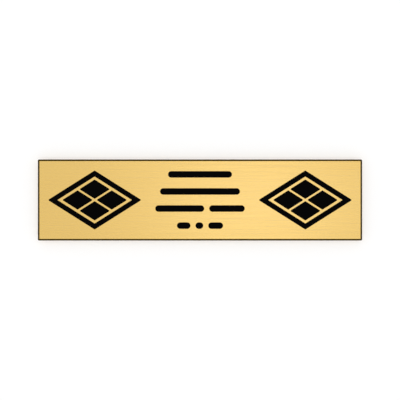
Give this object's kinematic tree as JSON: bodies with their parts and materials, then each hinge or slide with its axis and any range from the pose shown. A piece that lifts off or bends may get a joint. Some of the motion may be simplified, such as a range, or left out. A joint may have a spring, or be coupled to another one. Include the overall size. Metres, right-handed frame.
{
  "type": "engraved brass sign plate",
  "caption": "Flat rectangular brass sign plate with black-filled engraving, a dark edge line and a foam tape back under a split peel-off liner.",
  "frame": {"origin": "middle of the underside of the release liner, which is the surface that the sign lies on", "axes": "+X along the plate to the right as the face is read, +Y across the plate towards its upper edge, +Z out of the engraved face"},
  "size_m": [0.1016, 0.0254, 0.0025],
  "materials": {
    "brass": "satin",
    "black_enamel": "satin",
    "edge_enamel": "satin",
    "adhesive": "gloss",
    "foam": "matte",
    "liner_paper": "satin"
  },
  "bodies": {
    "sign": {"brass_plate": "brass", "edge_line": "edge_enamel", "left_emblem_frame": "black_enamel", "left_emblem_top_lozenge": "black_enamel", "left_emblem_bottom_lozenge": "black_enamel", "left_emblem_left_lozenge": "black_enamel", "left_emblem_right_lozenge": "black_enamel", "right_emblem_frame": "black_enamel", "right_emblem_top_lozenge": "black_enamel", "right_emblem_bottom_lozenge": "black_enamel", "right_emblem_left_lozenge": "black_enamel", "right_emblem_right_lozenge": "black_enamel", "row_1_bar": "black_enamel", "row_2_bar": "black_enamel", "row_3_left_bar": "black_enamel", "row_3_right_bar": "black_enamel", "row_4_left_bar": "black_enamel", "row_4_middle_bar": "black_enamel", "row_4_right_bar": "black_enamel", "upper_adhesive": "adhesive", "foam_core": "foam", "lower_adhesive": "adhesive"},
    "liner_left_half": {"liner_left": "liner_paper"},
    "liner_right_half": {"liner_right": "liner_paper"}
  },
  "joints": [
    {"name": "liner_left_peel", "type": "slide", "parent": "sign", "child": "liner_left_half", "axis": [-1, 0, 0], "range_m": [0, 0.055]},
    {"name": "liner_right_peel", "type": "slide", "parent": "sign", "child": "liner_right_half", "axis": [1, 0, 0], "range_m": [0, 0.055]}
  ]
}
